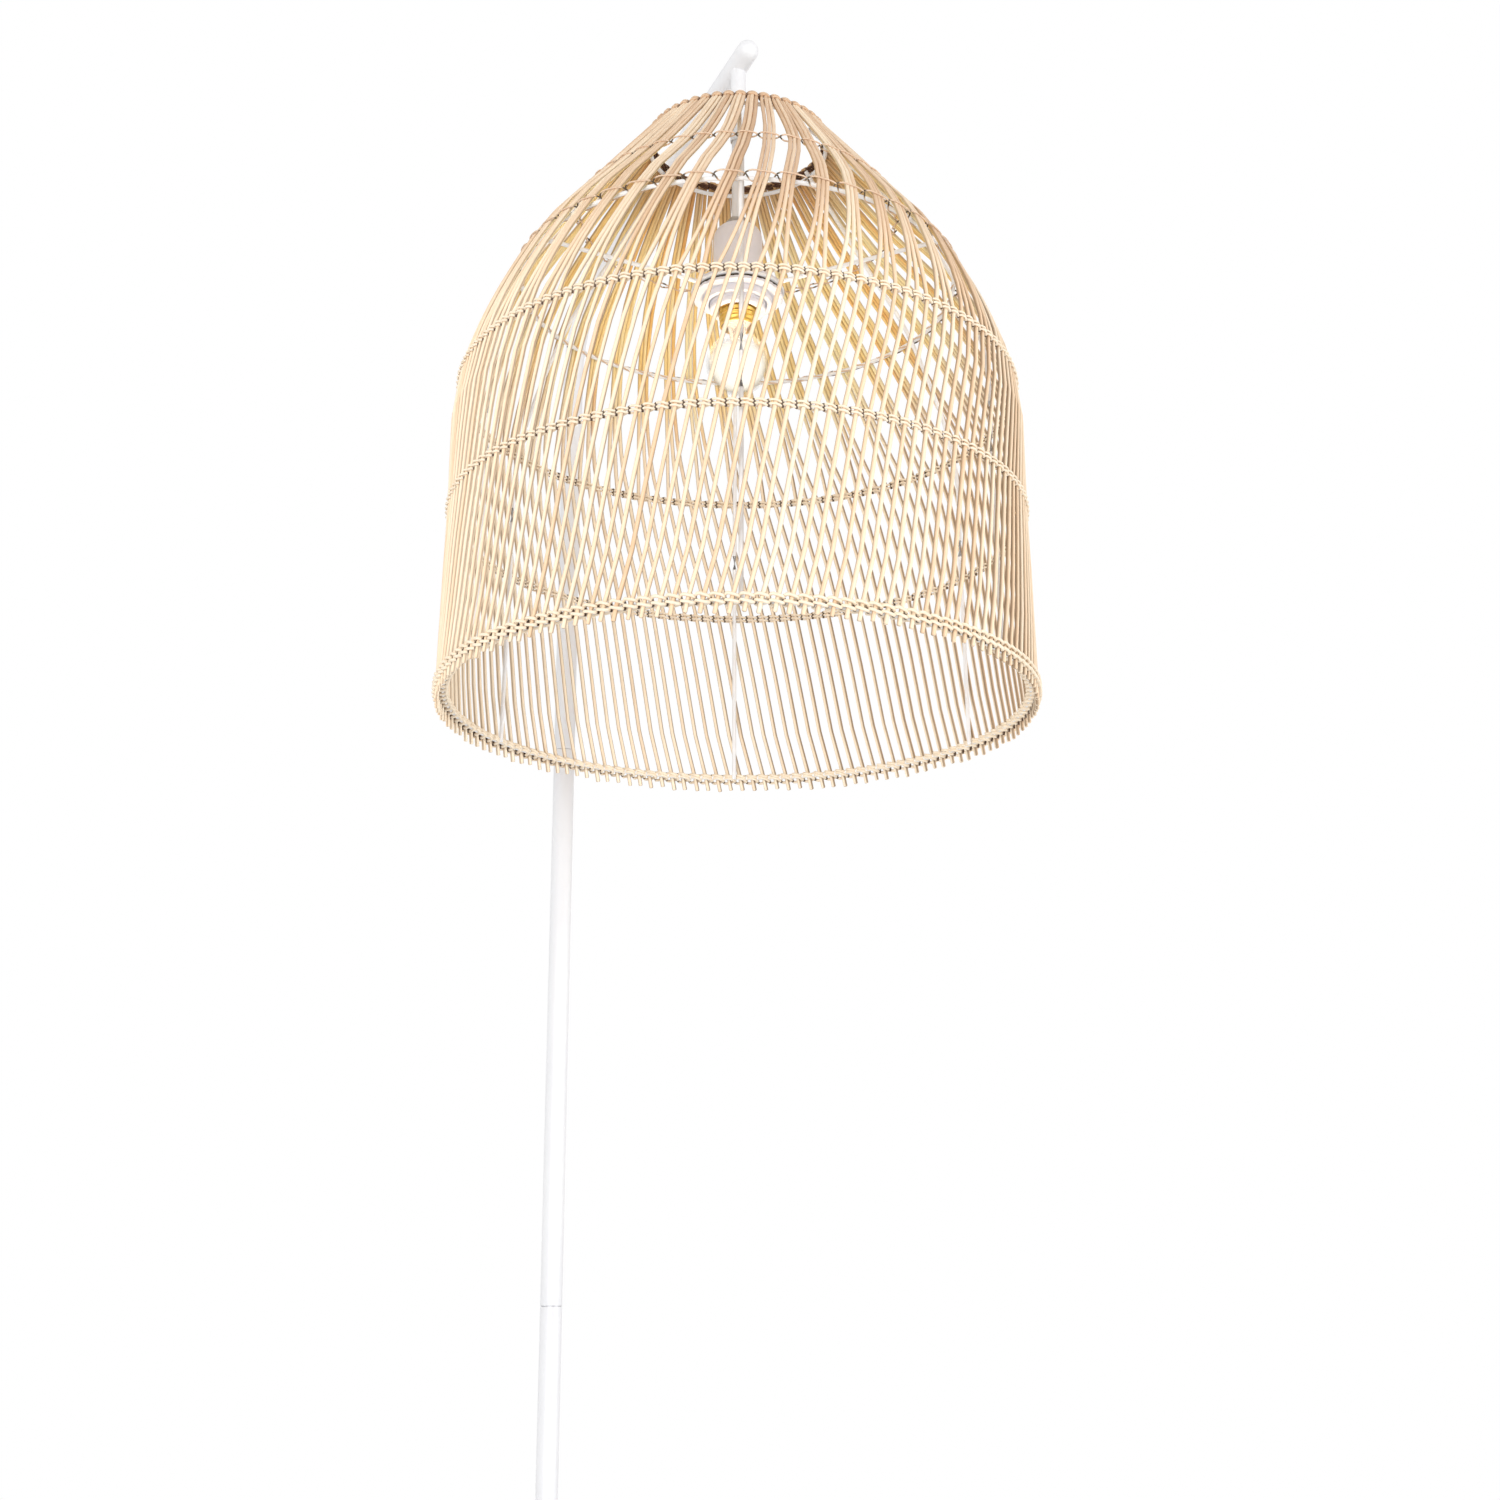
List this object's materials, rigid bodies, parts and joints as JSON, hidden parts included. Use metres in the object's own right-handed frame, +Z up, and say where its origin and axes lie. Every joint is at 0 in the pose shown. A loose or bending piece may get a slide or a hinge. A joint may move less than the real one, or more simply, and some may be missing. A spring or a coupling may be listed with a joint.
{
  "type": "floor lamp",
  "caption": "Floor lamp: a woven rattan dome shade hangs over its bulb from the cranked arm of a slim white pole that stands on a round weighted base.",
  "frame": {"origin": "on the floor under the pole's axis, in the middle of the felt pad's underside", "axes": "+Z up along the pole; +X from the pole towards the shade, the way the arm reaches; the shade's axis is parallel to Z at x = 0.276 m"},
  "size_m": [0.6277, 0.4034, 1.7418],
  "materials": {
    "white_paint": "smooth satin powder coat",
    "rattan": "natural peeled rattan, matt",
    "felt": "pressed felt",
    "zinc": "zinc plated",
    "brass": "rolled thread, bright",
    "pale_plastic": "smooth moulded",
    "black_plastic": "moulded",
    "porcelain": "glazed",
    "fibre": "dark pressed fibre",
    "clear_glass": "clear blown",
    "glow": "lit filament"
  },
  "bodies": {
    "stand": {"felt_pad": "felt", "base_plate": "white_paint", "base_washer": "zinc", "base_bolt": "zinc", "base_collar": "white_paint", "collar_screw": "zinc", "pole_plug": "zinc", "pole_lower": "white_paint", "coupler_lower": "zinc", "pole_middle": "white_paint", "coupler_middle": "zinc", "pole_upper": "white_paint", "coupler_upper": "zinc", "cord_grommet": "black_plastic"},
    "crook": {"crook_tube": "white_paint", "arm_cap": "white_paint", "drop_stem": "white_paint", "nipple": "white_paint", "nipple_nut": "zinc", "holder_cover": "pale_plastic", "holder_skirt": "pale_plastic", "holder_leaf": "brass", "holder_insert": "porcelain", "upper_ring": "pale_plastic"},
    "shade_carrier": {"shade_washer": "fibre"},
    "shade": {"rattan_weave": "rattan", "mouth_hoop": "white_paint", "shoulder_hoop": "white_paint", "top_hoop": "white_paint", "upright_1": "white_paint", "upright_2": "white_paint", "upright_3": "white_paint", "upright_4": "white_paint", "upright_5": "white_paint", "upright_6": "white_paint", "spider_ring": "white_paint", "spider_arm_1": "white_paint", "spider_arm_2": "white_paint", "spider_arm_3": "white_paint"},
    "ring": {"lower_ring": "pale_plastic"},
    "bulb_tip": {"bulb_contact": "black_plastic"},
    "bulb": {"bulb_cap": "brass", "bulb_glass": "clear_glass", "bulb_support": "clear_glass", "filament_1": "glow", "filament_2": "glow", "filament_3": "glow", "filament_4": "glow"}
  },
  "joints": [
    {"name": "arm_swivel", "type": "hinge", "parent": "stand", "child": "crook", "pos_m": [0, 0, 1.2767], "axis": [0, 0, 1], "range_deg": [-90, 90]},
    {"name": "shade_drop", "type": "slide", "parent": "crook", "child": "shade_carrier", "axis": [0, 0, -1], "range_m": [0, 0.005]},
    {"name": "shade_turn", "type": "hinge", "parent": "shade_carrier", "child": "shade", "pos_m": [0.276, 0, 1.545], "axis": [0, 0, 1], "continuous": true},
    {"name": "ring_turn", "type": "hinge", "parent": "shade_carrier", "child": "ring", "pos_m": [0.276, 0, 1.543], "axis": [0, 0, -1], "range_deg": [0, 720]},
    {"name": "bulb_travel", "type": "slide", "parent": "crook", "child": "bulb_tip", "axis": [0, 0, -1], "range_m": [0, 0.0108]},
    {"name": "bulb_turn", "type": "hinge", "parent": "bulb_tip", "child": "bulb", "pos_m": [0.276, 0, 1.543], "axis": [0, 0, -1], "range_deg": [0, 1080]}
  ],
  "couplings": [
    {"joint": "ring_turn", "follows": "shade_drop", "rad_per_m": 2513.3},
    {"joint": "bulb_turn", "follows": "bulb_travel", "rad_per_m": 1745.3}
  ]
}
